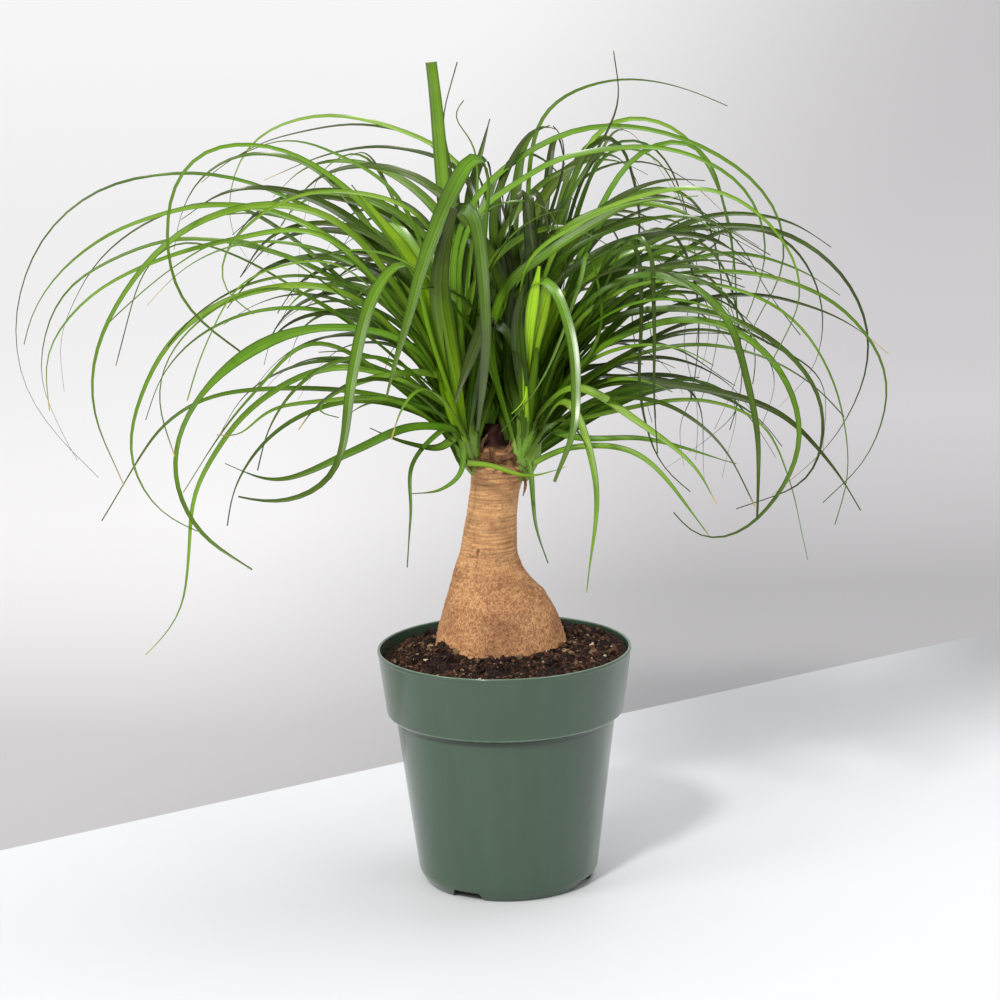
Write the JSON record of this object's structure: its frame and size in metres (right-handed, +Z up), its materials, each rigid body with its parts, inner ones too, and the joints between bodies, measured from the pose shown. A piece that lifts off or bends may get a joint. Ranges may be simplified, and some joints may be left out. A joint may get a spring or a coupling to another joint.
{
  "type": "potted ponytail palm",
  "caption": "Potted ponytail palm with a swollen tan trunk and long arching strap leaves in a tapered green grow pot filled with bark mix.",
  "frame": {"origin": "centre of the pot's flat base", "axes": "+Z up along the pot's axis, -Y toward the front as the picture shows it, +X to the viewer's right"},
  "size_m": [0.5585, 0.3587, 0.5347],
  "materials": {
    "pot_plastic": "moulded satin-gloss dark green plastic",
    "potting_mix": "loose bark, peat and perlite",
    "bark": "rough tan bark with leaf scar rings",
    "leaf": "waxy mid-green strap leaf",
    "leaf_dark": "waxy dark-green strap leaf"
  },
  "bodies": {
    "root": {"pot": "pot_plastic", "soil": "potting_mix", "trunk": "bark", "head_left": "leaf", "head_right": "leaf", "head_back": "leaf_dark"}
  },
  "joints": []
}
